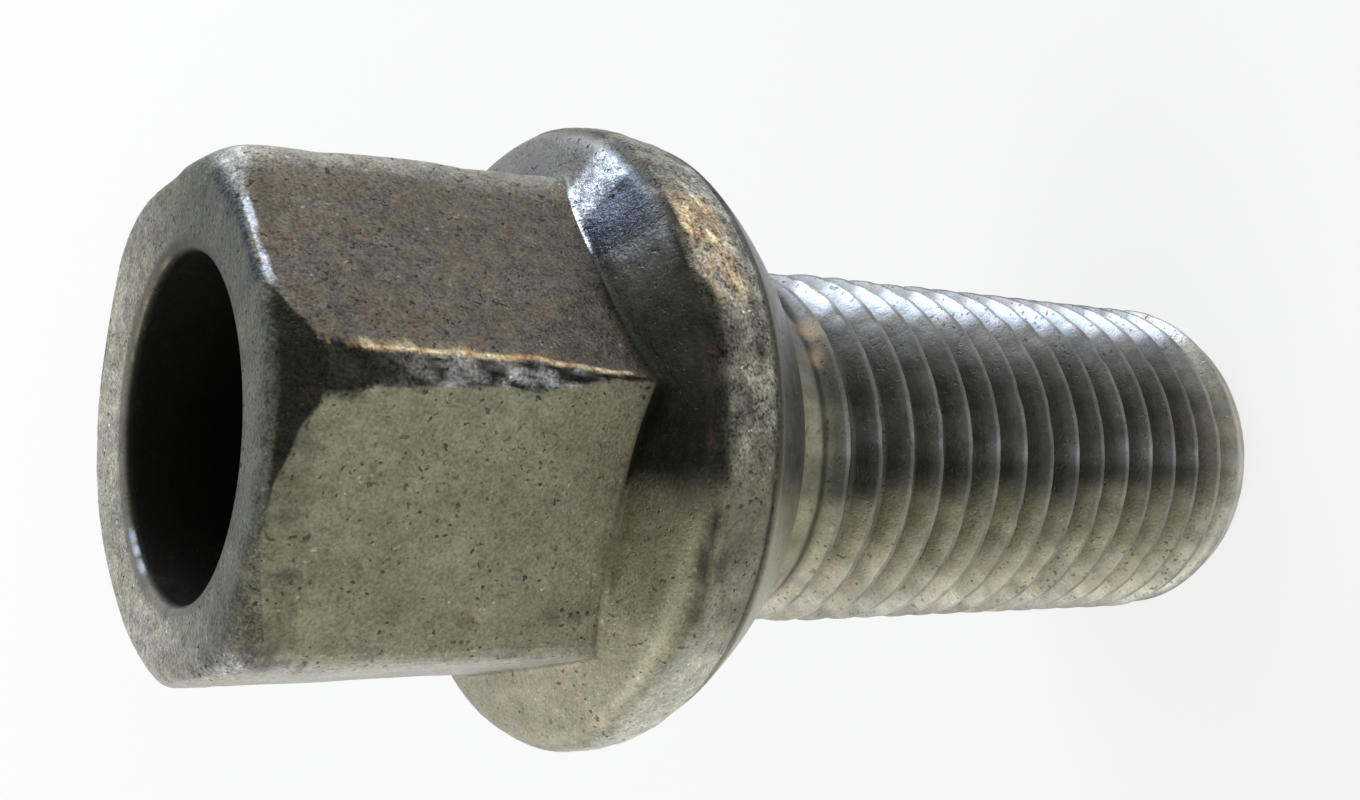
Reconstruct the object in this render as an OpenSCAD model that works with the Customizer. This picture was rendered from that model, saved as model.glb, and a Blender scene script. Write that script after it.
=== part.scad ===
// Wheel bolt, forged in one piece: a hexagon head with a round hollow in its
// end, a collar with a ball seat, a short neck and a threaded shank.
// The bolt stands on the end of its shank, with its axis on Z and its origin
// at the middle of that end face. All sizes are in millimetres.

/* [Thread] */
// Outer diameter of the thread
thread_d = 14; // [13.5:0.5:16]
// Length of the threaded stretch, from the end face to the neck
thread_len = 24; // [14:0.5:60]
// Diameter of the flat end face
tip_face_d = 13; // [10:0.1:13.4]
// Height of the chamfer behind the end face
tip_chamfer = 1.1; // [0.5:0.1:3]
// Length over which the thread runs out into the neck
run_out = 0.8; // [0.3:0.1:2]

/* [Neck] */
// Diameter of the plain neck between thread and seat
neck_d = 13.4; // [11:0.1:13.4]
// Length of the plain neck
neck_len = 1.5; // [0.5:0.1:6]

/* [Collar] */
// Radius of the ball that the seat is a zone of
seat_r = 13; // [12:0.5:16]
// Widest diameter of the collar
collar_d = 22.6; // [21:0.1:23.5]
// Height of the collar, from the neck's end to its back
collar_h = 8.3; // [7.5:0.1:12]
// Draft of the rim towards the seat, in degrees
rim_draft = 6; // [1:0.5:12]
// Radius that rounds the back of the collar
collar_back_r = 2.2; // [1:0.1:3]

/* [Hexagon] */
// Size across the flats
hex_af = 16.5; // [15.5:0.1:18]
// Height of the hexagon above the back of the collar
hex_h = 12; // [10:0.5:24]
// How far the worn corners stand back near the end face
corner_wear = 0.2; // [0.1:0.02:0.6]
// How far the corners stand back where they begin to fill out
corner_fill = 0.08; // [0.04:0.02:0.4]
// Height above the collar at which the corners begin to fill out
fill_h = 3.2; // [2:0.1:6]
// Height above the collar at which the corners are full
full_h = 0.6; // [0.2:0.1:1.5]
// Radius that rounds the corners down to the end face
dome_r = 1.8; // [1:0.1:2.5]

/* [Hollow] */
// Diameter of the hollow in the head
hollow_d = 11.2; // [8:0.1:11.6]
// Depth of the hollow's straight wall below the end face
hollow_depth = 9.5; // [5:0.5:12]
// Depth of the cone at the bottom of the hollow
hollow_cone = 1.4; // [0.5:0.1:3]
// Radius of the rounded lip
lip_r = 0.4; // [0.2:0.1:0.8]

/* [Hidden] */
$fn = 96;
// Overlap that joins neighbouring forms and clears cut faces
lap = 1;
// Half sizes
thread_r = thread_d / 2;
neck_r = neck_d / 2;
collar_r = collar_d / 2;
hollow_r = hollow_d / 2;
// Radius of the hexagon's corners before wear
sharp_r = hex_af / 2 / cos(30);
// Heights along the bolt, from the end face of the shank up
seat_z = thread_len + neck_len;
ball_z = seat_z + sqrt(pow(seat_r, 2) - pow(neck_r, 2));
collar_back_z = seat_z + collar_h;
rim_z = collar_back_z - collar_back_r;
head_z = collar_back_z + hex_h;
// Radius that the drafted rim would have at the foot of the collar
rim_foot_z = seat_z - lap;
rim_foot_r = collar_r - (rim_z - rim_foot_z) * tan(rim_draft);
// Radii of the turned form that trims the hexagon's corners
corner_top_r = sharp_r - corner_wear;
corner_fill_r = sharp_r - corner_fill;
fill_slope = corner_fill / (fill_h - full_h);
corner_foot_r = corner_fill_r + fill_slope * (fill_h + collar_back_r);

// Threaded stretch at the thread's outer diameter, chamfered at its end
// and tapered where the thread runs out
module shank() {
    rotate_extrude()
        polygon([
            [0, 0],
            [tip_face_d / 2, 0],
            [thread_r, tip_chamfer],
            [thread_r, thread_len - run_out],
            [neck_r, thread_len],
            [0, thread_len]
        ]);
}

// Plain neck, reaching a little into the shank and the collar
module neck() {
    translate([0, 0, thread_len - run_out])
        cylinder(h = run_out + neck_len + lap, r = neck_r);
}

// Half section of the collar before its ball seat is turned
module collar_blank() {
    polygon([
        [0, rim_foot_z],
        [rim_foot_r, rim_foot_z],
        [collar_r, rim_z],
        [collar_r - collar_back_r, collar_back_z],
        [0, collar_back_z]
    ]);
    intersection() {
        translate([collar_r - collar_back_r, rim_z])
            circle(r = collar_back_r);
        translate([0, rim_z])
            square(collar_r);
    }
}

// Collar with a drafted rim, a rounded back and the ball seat below
module collar() {
    rotate_extrude()
        intersection() {
            collar_blank();
            translate([0, ball_z])
                circle(r = seat_r);
        }
}

// Half section of the turned form that trims the hexagon's corners
module corner_section() {
    polygon([
        [0, rim_z],
        [corner_foot_r, rim_z],
        [corner_fill_r, collar_back_z + fill_h],
        [corner_top_r, head_z - dome_r],
        [corner_top_r - dome_r, head_z],
        [0, head_z]
    ]);
    intersection() {
        translate([corner_top_r - dome_r, head_z - dome_r])
            circle(r = dome_r);
        translate([0, head_z - dome_r])
            square(corner_top_r);
    }
}

// Hexagon with its corners worn and rounded down to the end face
module hexagon() {
    intersection() {
        translate([0, 0, rim_z])
            cylinder(h = head_z - rim_z, r = sharp_r, $fn = 6);
        rotate_extrude()
            corner_section();
    }
}

// Round hollow in the end of the head, with a rounded lip and a cone
// at its bottom
module hollow() {
    rotate_extrude() {
        polygon([
            [0, head_z - hollow_depth - hollow_cone],
            [hollow_r, head_z - hollow_depth],
            [hollow_r, head_z + lap],
            [0, head_z + lap]
        ]);
        difference() {
            translate([0, head_z - lip_r])
                square([hollow_r + lip_r, lip_r + lap]);
            translate([hollow_r + lip_r, head_z - lip_r])
                circle(r = lip_r);
        }
    }
}

// The whole bolt, one forged piece
module wheel_bolt() {
    color("#8c8a76")
        difference() {
            union() {
                shank();
                neck();
                collar();
                hexagon();
            }
            hollow();
        }
}

wheel_bolt();
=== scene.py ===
import math

import bmesh
import bpy
import numpy as np
from mathutils import Matrix, Vector


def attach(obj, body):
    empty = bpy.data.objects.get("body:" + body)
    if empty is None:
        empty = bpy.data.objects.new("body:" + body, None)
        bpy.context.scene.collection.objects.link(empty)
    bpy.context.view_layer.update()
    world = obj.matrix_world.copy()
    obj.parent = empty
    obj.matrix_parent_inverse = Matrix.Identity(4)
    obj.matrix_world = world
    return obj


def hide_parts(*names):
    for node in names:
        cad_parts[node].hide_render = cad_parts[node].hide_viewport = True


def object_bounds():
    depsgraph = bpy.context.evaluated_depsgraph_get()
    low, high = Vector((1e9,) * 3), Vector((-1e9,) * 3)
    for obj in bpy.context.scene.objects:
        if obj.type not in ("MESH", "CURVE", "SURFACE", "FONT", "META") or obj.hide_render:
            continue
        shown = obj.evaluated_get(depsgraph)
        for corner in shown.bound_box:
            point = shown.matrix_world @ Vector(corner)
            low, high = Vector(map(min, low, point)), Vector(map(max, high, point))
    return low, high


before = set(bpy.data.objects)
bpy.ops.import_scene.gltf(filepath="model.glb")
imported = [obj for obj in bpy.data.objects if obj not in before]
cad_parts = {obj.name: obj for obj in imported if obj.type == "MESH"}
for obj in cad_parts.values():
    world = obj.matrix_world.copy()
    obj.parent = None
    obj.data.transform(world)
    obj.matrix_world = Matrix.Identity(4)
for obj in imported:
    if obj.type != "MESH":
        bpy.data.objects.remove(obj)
cad_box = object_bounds()

# Sizes in millimetres. t is the distance from the head's end face along the
# axis, z is the height above the shank's end face, and phi is the angle in
# degrees about +Z from the corner of the hexagon on +X. p is phi repeated for
# every point, and q is the same angle in -180..180 degrees.
MM = 0.001
LENGTH = 45.8

# Thread: its run-out ends in the neck, THREAD_END above the shank's end face
PITCH = 1.5
CREST_R = 7.0
ROOT_R = 6.08
NECK_R = 6.7
TIP_R = 6.5
CHAMFER = 1.1
THREAD_END = 25.3
# Height of a crest at phi = 0, in pitches
CREST_PHASE = 0.636
# Half the width of the crest's flat, and how fast the groove falls beside it
CREST_HALF = 0.10
GROOVE_SLOPE = 1.883

# Collar: a ball seat around a centre at BALL_T, a rim that bends at RIM_EDGE
# (radius and station), and a back that is a rounded edge and then a shallow cone
BALL_T = 9.16
BALL_R = 13.0
SEAT_EDGE_R = 11.0
RIM_EDGE = (11.12, 15.4)
RIM_R = 11.25
RIM_T = 14.2
BACK_R = 2.2
BACK_SLOPE = 0.43
BACK_CONE_R = 8.7
BACK_END_R = 7.4
SEAM_T = 15.95

# Hexagon and hollow: the flats narrow by the share FLAT_DRAFT towards the end face
FLAT_R = 8.27
FLAT_DRAFT = 0.012
DRAFT_END = 12.0
ROUND_END_R = 8.94
HOLE_R = 5.6
LIP_R = 0.4
WALL_END = 9.5
CONE_END = 10.9

# The forged head sits a little off the thread's axis
HEAD_SHIFT = 0.095
HEAD_SHIFT_PHI = 78.7
# The collar is leaner at its seat and fuller at its rim on this side
LOW_SIDE_PHI = -98.0

# Radius and station along the worn form that the hexagon's corners follow
ENVELOPE = [
    (6.0, 0.0), (7.8, 0.0), (8.02, 0.03), (8.22, 0.13), (8.42, 0.28), (8.62, 0.46),
    (8.80, 0.63), (8.94, 0.82), (9.06, 1.2), (9.12, 1.7), (9.17, 2.6), (9.24, 3.6),
    (9.32, 5.1), (9.37, 6.8), (9.40, 8.75), (9.45, 10.2), (9.52, 11.2), (9.6, 12.1),
    (9.8, 14.0),
]

# Numbers of the parts of a head column, from the neck into the hollow
NECK, SEAT, RIM, BACK, FLANK, FACE, LIP, WALL, FLOOR = range(9)

# Rings of points on the shank's end face, as shares of its radius
TIP_RINGS = np.array([0.3, 0.62, 0.86, 0.97])
# Points on the dense lines that the rows of a head column are picked from
BACK_POINTS = 260
FLANK_POINTS = 620
FACE_POINTS = 240


# Noise
def value_noise(x, y, seed, period=None):
    """Smooth noise in -1..1 at x, y. It repeats along x after period cells."""
    size = 256
    table = np.random.default_rng(seed).random((size, size))
    x0 = np.floor(x).astype(int)
    y0 = np.floor(y).astype(int)
    fx = x - x0
    fy = y - y0
    fx = fx * fx * (3.0 - 2.0 * fx)
    fy = fy * fy * (3.0 - 2.0 * fy)
    wrap = period or size

    def at(i, j):
        return table[np.mod(np.mod(i, wrap), size), np.mod(j, size)]

    low = at(x0, y0) * (1 - fx) + at(x0 + 1, y0) * fx
    high = at(x0, y0 + 1) * (1 - fx) + at(x0 + 1, y0 + 1) * fx
    return 2.0 * (low * (1 - fy) + high * fy) - 1.0


def fractal(x, y, seed, octaves=3, period=None):
    """Sum of noises, each twice as fine and half as strong as the one before."""
    total = 0.0
    for k in range(octaves):
        cells = period * 2 ** k if period else None
        total = total + 0.5 ** k * value_noise(x * 2 ** k, y * 2 ** k, seed + k, cells)
    return total


def ring_noise(phi, along, cells, seed, octaves=3):
    """Noise with so many cells around the axis, which closes after a full turn."""
    return fractal(phi / 360.0 * cells, along, seed, octaves, cells)


def line_noise(x, seed, period=None):
    """Smooth noise in -1..1 along a single line."""
    return value_noise(x, np.zeros_like(x), seed, period)


def smooth_step(x, low, high):
    """Zero below low and one above high, with a soft rise between them."""
    s = np.clip((x - low) / (high - low), 0.0, 1.0)
    return s * s * (3.0 - 2.0 * s)


def fall(x, low, high):
    """One below low and zero above high, with a soft fall between them."""
    return 1.0 - smooth_step(x, low, high)


def bell(x, width):
    """Bell curve of height one around zero."""
    return np.exp(-(x / width) ** 2)


def window(x, low, high, soft):
    """One between low and high, fading to zero over soft outside them."""
    return smooth_step(x, low - soft, low) * fall(x, high, high + soft)


def soft_min(a, b, k):
    """The lower of two values, rounded over where they come within k of each other."""
    h = np.maximum(k - np.abs(a - b), 0.0) / k
    return np.minimum(a, b) - h * h * k * 0.25


def signed(phi):
    """The same angle in -180..180 degrees."""
    return np.mod(phi + 180.0, 360.0) - 180.0


# Shape
def column_angles():
    """Angles of the mesh's columns in degrees, closer near the six corners."""
    fine = 0.5
    wide = 2.04
    sector = np.concatenate([
        fine * np.arange(9), [4.5], 4.5 + wide * np.arange(1, 25), 56.0 + fine * np.arange(8),
    ])
    return np.concatenate([sector + 60.0 * k for k in range(6)])


# Rows of the mesh in one turn of the thread, as shares of the pitch from the crest
THREAD_LEVELS = np.array(
    [0.0, 0.053, 0.093, 0.24, 0.367, 0.433, 0.5, 0.567, 0.633, 0.76, 0.907, 0.947]
)


def thread_depth(z, phi):
    """Zero on the thread's crest and one at its root."""
    phase = z / PITCH - phi / 360.0 - CREST_PHASE
    d = phase - np.floor(phase)
    d = np.minimum(d, 1.0 - d) * PITCH
    flank = 1.0 - (d - CREST_HALF) * GROOVE_SLOPE
    shape = np.clip(soft_min(flank, 1.0, 0.12), 0.0, 1.0)
    shape = -soft_min(-shape, -0.0, 0.16)
    return 1.0 - np.clip(shape, 0.0, 1.0)


def thread_radius(z, phi):
    """Radius of the right-hand thread at height z and angle phi in degrees."""
    t = LENGTH - z
    # Along the run-out the crest rises in two steps, and the root sinks in
    crest = NECK_R + 0.17 * smooth_step(t, 20.6, 22.0) + 0.13 * smooth_step(t, 22.6, 25.2)
    knocks = np.maximum(ring_noise(phi, z * 1.3, 40, 71, 2) - 0.25, 0.0)
    crest = crest - 0.09 * knocks * smooth_step(t, 21.0, 23.0)
    root = NECK_R - (NECK_R - ROOT_R) * smooth_step(t, 20.7, 23.0)
    # The groove is shallower in the chamfered end
    root = crest - (crest - root) * smooth_step(z, -0.4, 1.5)
    r = crest - (crest - root) * thread_depth(z, phi)
    r = r + 0.010 * ring_noise(phi, z * 1.9, 56, 75) * smooth_step(z, 0.4, 1.4)
    cone = TIP_R + (CREST_R - TIP_R) * z / CHAMFER
    return soft_min(r, cone, 0.08)


def thread_rows(phi):
    """Radii and heights of the helical rows from the tip up to the neck."""
    levels = len(THREAD_LEVELS)
    k = np.arange(levels * (int(THREAD_END / PITCH) + 4))
    turn = k // levels - 2 + THREAD_LEVELS[k % levels] + CREST_PHASE
    z = np.clip(PITCH * (turn[:, None] + phi[None, :] / 360.0), 0.0, THREAD_END)
    first = np.flatnonzero(z.max(1) <= 0.0)[-1] - 1
    last = np.flatnonzero(z.min(1) >= THREAD_END)[0] + 1
    z = z[first:last + 1]
    return thread_radius(z, phi[None, :]), z


def resample(points, count):
    """Even spacing by length along each column's line of points (n, columns, 2)."""
    step = np.linalg.norm(np.diff(points, axis=0), axis=2)
    length = np.vstack([np.zeros(points.shape[1]), np.cumsum(step, axis=0)])
    out = np.empty((count, points.shape[1], 2))
    for c in range(points.shape[1]):
        s = np.linspace(0.0, length[-1, c], count)
        for k in range(2):
            out[:, c, k] = np.interp(s, length[:, c], points[:, c, k])
    return out


def column_lines(line, columns):
    """The same line of points in every column."""
    return np.repeat(np.asarray(line, float)[:, None, :], columns, axis=1)


def arc_line(cr, ct, radius, start, end, count):
    """Points on an arc around radius cr and station ct, between two angles in degrees."""
    a = np.radians(np.linspace(start, end, count))
    return np.stack([cr + radius * np.cos(a), ct + radius * np.sin(a)], 1)


def gauss_kernel(sigma):
    """Weights of a blur that add up to one, and how far they reach."""
    reach = int(3 * sigma)
    kernel = np.exp(-0.5 * (np.arange(-reach, reach + 1) / sigma) ** 2)
    return kernel / kernel.sum(), reach


def blur(points, sigma):
    """Blur along the lines of points, whose ends stay where they are."""
    kernel, reach = gauss_kernel(sigma)
    padded = np.pad(points, ((reach, reach), (0, 0), (0, 0)), mode="edge")
    out = np.zeros_like(points)
    for k, w in enumerate(kernel):
        out += w * padded[k:k + len(points)]
    return out


def envelope_line():
    """The corner envelope as a dense, smoothed line of radius and station."""
    pts = np.array(ENVELOPE)
    step = np.concatenate([[0.0], np.cumsum(np.hypot(*np.diff(pts, axis=0).T))])
    s = np.linspace(0.0, step[-1], 1400)
    line = np.stack([np.interp(s, step, pts[:, k]) for k in range(2)], 1)
    return blur(line[:, None, :], 10.0)[:, 0, :]


def bunch(count, ends):
    """Values from 0 to 1, closer together at the ends that are named."""
    s = np.linspace(0.0, 1.0, count)
    if ends == "both":
        return s - 0.8 * np.sin(2 * np.pi * s) / (2 * np.pi)
    if ends == "first":
        return s - 0.7 * np.sin(np.pi * s) / np.pi
    return s


def near_battered_corner(q):
    """One around the battered corner on +X."""
    return window(q, -12.0, 12.0, 12.0)


def corner_wear(q, t):
    """How far the hexagon's corner envelope stands back from its plain turned form."""
    battered = near_battered_corner(q)
    worn = 0.25 * battered * window(t, 0.45, 1.05, 0.4)
    worn = worn + 0.14 * battered * window(t, 4.5, 8.4, 3.0)
    # The end is rounded off more on the lower flat and near +Y and -Y, and less towards -X
    sides = window(q, 78.0, 96.0, 12.0) + window(q, -120.0, -98.0, 14.0)
    lower = window(q, -48.0, -16.0, 8.0)
    far = window(signed(q - 150.0), -40.0, 44.0, 26.0)
    crown = window(q, 124.0, 160.0, 10.0) + 0.9 * window(q, 60.0, 78.0, 8.0)
    worn = worn + fall(t, 0.1, 1.5) * (0.06 * sides - 0.38 * far - 0.22 * crown)
    worn = worn + 0.22 * lower * fall(t, 0.4, 1.0)
    fuller = 0.10 * window(q, 46.0, 132.0, 12.0) * window(t, 1.4, 7.5, 1.2)
    ragged = 0.05 * ring_noise(q, t * 0.25, 9, 31, 2) * window(t, 2.0, 9.5, 2.0)
    return worn - fuller - ragged


def corner_line(phi):
    """Radii and stations of the corner envelope in each column, with its own wear."""
    line = envelope_line()
    t = line[:, 1:]
    wear = corner_wear(signed(phi)[None, :], t) * smooth_step(line[:, :1], 6.0, 7.6)
    return line[:, :1] - wear, np.repeat(t, len(phi), axis=1)


def flat_radius(phi, t):
    """Radius of the drafted flats at angle phi and station t."""
    folded = np.mod(phi, 60.0) - 30.0
    draft = 1.0 - FLAT_DRAFT * (1.0 - np.clip(t / DRAFT_END, 0.0, 1.0))
    return FLAT_R * draft / np.cos(np.radians(folded))


def off_flat(phi, t):
    """One where the rounded corner form shows, and zero on the flats."""
    line = envelope_line()
    r = np.interp(t, line[:, 1], line[:, 0]) - corner_wear(signed(phi), t)
    return smooth_step(flat_radius(phi, t) - r, -0.03, 0.05)


def collar_back_line():
    """Dense line of the collar's back, from the rim's edge towards the axis."""
    inner = np.linspace(RIM_R - BACK_R, BACK_END_R, 120)[1:]
    line = np.vstack([
        arc_line(RIM_R - BACK_R, RIM_T, BACK_R, 0.0, -90.0, 240),
        np.stack([inner, np.full(len(inner), RIM_T - BACK_R)], 1),
    ])
    cone = RIM_T - BACK_R + BACK_SLOPE * (line[:, 0] - BACK_CONE_R)
    line[:, 1] = -soft_min(-line[:, 1], -cone, 0.16)
    return line


def hexagon_lines(phi):
    """The collar's back, the hexagon's side and its rounded end, as dense lines in each column."""
    n = len(phi)
    env_r, env_t = corner_line(phi)
    flat_r = flat_radius(phi[None, :], env_t)
    edge_round = 0.46 - 0.32 * near_battered_corner(signed(phi))[None, :]
    flank_r = soft_min(env_r, flat_r, edge_round)
    back = collar_back_line()
    backs = np.empty((BACK_POINTS, n, 2))
    flanks = np.empty((FLANK_POINTS, n, 2))
    faces = np.empty((FACE_POINTS, n, 2))
    for c in range(n):
        # Where the collar's back runs into this column of the hexagon
        r_here = np.interp(back[:, 1], env_t[:, c], flank_r[:, c])
        cut = np.argmax(back[:, 0] <= r_here)
        before = back[cut - 1, 0] - r_here[cut - 1]
        after = back[cut, 0] - r_here[cut]
        meet = back[cut - 1] + before / (before - after) * (back[cut] - back[cut - 1])
        part = np.vstack([back[:cut], meet])[:, None, :]
        backs[:, c:c + 1] = resample(part, BACK_POINTS)
        # Where the flat gives way to the rounded end
        limit = min(flat_r[0, c], ROUND_END_R)
        edge = env_t[np.argmax(env_r[:, c] >= limit - 0.02), c]
        column = np.stack([flank_r[:, c], env_t[:, c]], 1)
        side = column[(column[:, 1] < meet[1]) & (column[:, 1] > edge)][::-1]
        side = np.vstack([meet, side])[:, None, :]
        flanks[:, c:c + 1] = resample(side, FLANK_POINTS)
        top = column[column[:, 1] <= edge][::-1][:, None, :]
        faces[:, c:c + 1] = resample(top, FACE_POINTS)
    return backs, flanks, faces


def head_rows(phi):
    """Radii and stations from the neck over seat, rim, hexagon and face into the hollow."""
    n = len(phi)
    backs, flanks, faces = hexagon_lines(phi)
    r_seat = np.linspace(NECK_R, SEAT_EDGE_R, 60)
    t_seat = BALL_T + np.sqrt(BALL_R ** 2 - r_seat ** 2)
    neck = column_lines([(NECK_R, LENGTH - THREAD_END), (NECK_R, t_seat[0])], n)
    seat = column_lines(np.stack([r_seat, t_seat], 1), n)
    rim = column_lines([(SEAT_EDGE_R, t_seat[-1]), RIM_EDGE, (RIM_R, RIM_T)], n)
    lip = column_lines(arc_line(HOLE_R + LIP_R, LIP_R, LIP_R, -90.0, -180.0, 24), n)
    wall = column_lines([(HOLE_R, LIP_R), (HOLE_R, WALL_END)], n)
    floor = column_lines([(HOLE_R, WALL_END), (0.0, CONE_END)], n)
    # In the order of the zones: the dense line, the number of rows, and where they are closer
    parts = [
        (resample(neck, 40), 5, "both"),
        (resample(seat, 240), 17, "both"),
        (resample(rim, 100), 15, "even"),
        (backs, 22, "both"),
        (flanks, 60, "both"),
        (faces, 28, "first"),
        (lip, 8, "even"),
        (resample(wall, 160), 9, "both"),
        (resample(floor, 90), 6, "even"),
    ]
    line = np.concatenate([parts[0][0]] + [dense[1:] for dense, count, ends in parts[1:]])
    picks = [0]
    zones = [NECK]
    marks = []
    start = 0
    for zone, (dense, count, ends) in enumerate(parts):
        span = len(dense) - 1
        picks += [start + int(round(v * span)) for v in bunch(count + 1, ends)[1:]]
        zones += [zone] * count
        start += span
        marks.append(start)
    # Fillets where neck and seat, collar and hexagon, and wall and cone meet: place, blur, reach
    fillets = [(marks[NECK], 8.0, 18.0), (marks[BACK], 10.0, 24.0), (marks[WALL], 6.0, 14.0)]
    index = np.arange(len(line))
    for mark, sigma, reach in fillets:
        w = np.exp(-0.5 * ((index - mark) / reach) ** 2)[:, None, None]
        line = line * (1 - w) + blur(line, sigma) * w
    return line[picks, :, 0], line[picks, :, 1], np.array(zones)


# Dents as angle, station, radius and depth
DENTS = [
    (-2.6, 8.1, 0.34, 0.10), (-1.0, 5.6, 0.25, 0.05), (1.8, 4.3, 0.22, 0.06),
    (2.4, 6.9, 0.2, 0.05), (-52.0, 1.6, 0.30, 0.05), (-48.0, 7.2, 0.22, 0.04),
    (28.0, 4.4, 0.28, 0.02), (-24.0, 9.7, 0.3, 0.03), (97.0, 3.2, 0.40, 0.05),
    (131.0, 6.0, 0.35, 0.04), (160.0, 9.0, 0.45, 0.05), (205.0, 4.0, 0.4, 0.05),
    (236.0, 7.7, 0.35, 0.05), (251.0, 2.4, 0.4, 0.04), (30.0, 12.6, 0.4, 0.03),
    (-70.0, 13.2, 0.5, 0.04), (140.0, 14.0, 0.5, 0.05), (218.0, 13.0, 0.45, 0.05),
    (-140.0, 15.0, 0.5, 0.05),
]


def dents(phi, t, r):
    """Small round dents with a raised edge."""
    total = 0.0
    for at_phi, at_t, size, depth in DENTS:
        arc = np.radians(signed(phi - at_phi)) * r
        d = np.hypot(arc, t - at_t) / size
        total = total - depth * np.exp(-d ** 4) + 0.45 * depth * bell(d - 1.35, 0.3)
    return total


def corner_nicks(phi, t):
    """Knocks along the hexagon's corners, at most zero."""
    corner = np.mod(phi + 30.0, 60.0) - 30.0
    along = window(t, 0.6, 10.5, 0.8)
    knocks = np.maximum(ring_noise(phi, t * 1.1, 90, 41) + 0.1, 0.0)
    return -0.05 * bell(corner, 2.4) * knocks * along


# Upper and lower edge of the battered corner on +X: stations, and the angle at each
UPPER_EDGE = ([0.9, 2.1, 3.8, 8.3, 10.3, 12.3], [7.0, 4.3, 3.6, 3.2, 1.9, 0.3])
LOWER_EDGE = ([0.9, 1.6, 3.1, 6.9, 8.3, 9.6, 11.0], [-8.0, -5.6, -3.1, -2.4, -2.9, -1.7, 0.0])
EDGE_FADE = 0.4


def band_edges(t):
    """Upper and lower angle of the battered corner, which narrows towards the collar."""
    wander = 0.35 * line_noise(t * 2.2, 67)
    return np.interp(t, *UPPER_EDGE) + wander, np.interp(t, *LOWER_EDGE) - wander


def burr_band(q, t):
    """One on the battered corner, between its two ragged edges."""
    upper, lower = band_edges(t)
    above_lower = smooth_step(q, lower - EDGE_FADE, lower + EDGE_FADE)
    return above_lower * fall(q, upper - EDGE_FADE, upper + EDGE_FADE)


def torn_lumps(phi, t):
    """Noise of the torn metal on the battered corner."""
    return ring_noise(phi, t * 2.4, 150, 51)


def burrs(phi, t):
    """Torn and rolled metal along the battered corner."""
    q = signed(phi)
    upper, lower = band_edges(t)
    band = burr_band(q, t) * window(t, 2.8, 10.6, 2.2)
    tears = 1.0 - np.abs(ring_noise(phi, t * 1.6, 100, 57, 2))
    broken = 0.5 + 0.5 * line_noise(t * 1.9, 61)
    upper_lip = bell(q - upper, 0.55) * window(t, 1.9, 10.8, 0.8)
    lower_lip = bell(q - lower, 0.6) * window(t, 2.6, 9.4, 0.8)
    inside = band * (0.060 * torn_lumps(phi, t) + 0.06 * (tears - 0.75) - 0.04)
    return inside + upper_lip * (0.02 + 0.05 * broken) + lower_lip * 0.035 * (1.0 - broken)


def bright_patch(q, t):
    """One on the shiny, creased patch of the collar's back."""
    edge = q + 2.5 * line_noise(t * 2.0, 137)
    return smooth_step(edge, 23.0, 37.0) * fall(edge, 52.0, 57.0) * fall(t, 12.9, 13.25)


def creases(phi, t):
    """Creases of the shiny patch on the collar's back."""
    return (np.abs(ring_noise(phi, t * 1.8, 70, 131)) - 0.3) * bright_patch(signed(phi), t)


def ridge_wander(phi):
    """How far the ridge at the rim's edge strays along the axis."""
    return 0.25 * line_noise(phi / 360.0 * 14, 23, 14)


def head_relief(phi, t, r, zone):
    """Unevenness of the forged and worn head along its surface normal."""
    z = zone[:, None]
    share = np.select([z == SEAT, z == NECK, z == FACE, z >= LIP], [0.25, 0.1, 0.55, 0.3], 1.0)
    relief = 0.018 * ring_noise(phi, t * 0.38 + r * 0.3, 22, 3, 2) * share
    outside = (z == FLANK) | (z == FACE)
    relief = relief + np.where(outside, corner_nicks(phi, t) + burrs(phi, t), 0.0)
    # The granular rim with the ridge at its edge, and the seam beside the seat
    rough = 0.030 * ring_noise(phi, t * 1.5, 100, 11) + 0.024 * ring_noise(phi, t * 0.7, 40, 17, 2)
    relief = relief + rough * window(t, 13.7, 15.7, 0.4) * ((z == RIM) | (z == BACK))
    ridge = bell(t - 13.55 - ridge_wander(phi), 0.20)
    relief = relief + 0.055 * ridge * (z == BACK)
    seam = bell(t - SEAM_T, 0.13)
    relief = relief - 0.10 * seam * (z <= RIM) * (z >= SEAT)
    relief = relief + 0.05 * creases(phi, t) * (z == BACK)
    relief = relief + np.where((z >= RIM) & (z <= FLANK), dents(phi, t, r), 0.0)
    return relief + 0.014 * ring_noise(phi, r * 1.3, 70, 83) * (z == FACE)


def surface_normals(co):
    """Unit normals of a grid of points whose columns go around the axis."""
    along = np.gradient(co, axis=0)
    around = np.roll(co, -1, axis=1) - np.roll(co, 1, axis=1)
    normal = np.cross(around, along)
    return normal / np.maximum(np.linalg.norm(normal, axis=2, keepdims=True), 1e-9)


def place(r, phi, z):
    """Points from radius, angle and height."""
    a = np.radians(phi)
    return np.stack([r * np.cos(a), r * np.sin(a), z], -1)


def face_dip(r, phi, t):
    """How far the end face lies below its highest side: tilted towards +X and dished."""
    tilt = 0.13 * (1.0 + np.cos(np.radians(phi + 5.0)) * np.clip(r / 8.0, 0.0, 1.1))
    dish = 0.12 * fall(r, 5.8, 7.4)
    return (tilt + dish) * fall(t, 0.6, 3.2)


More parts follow.
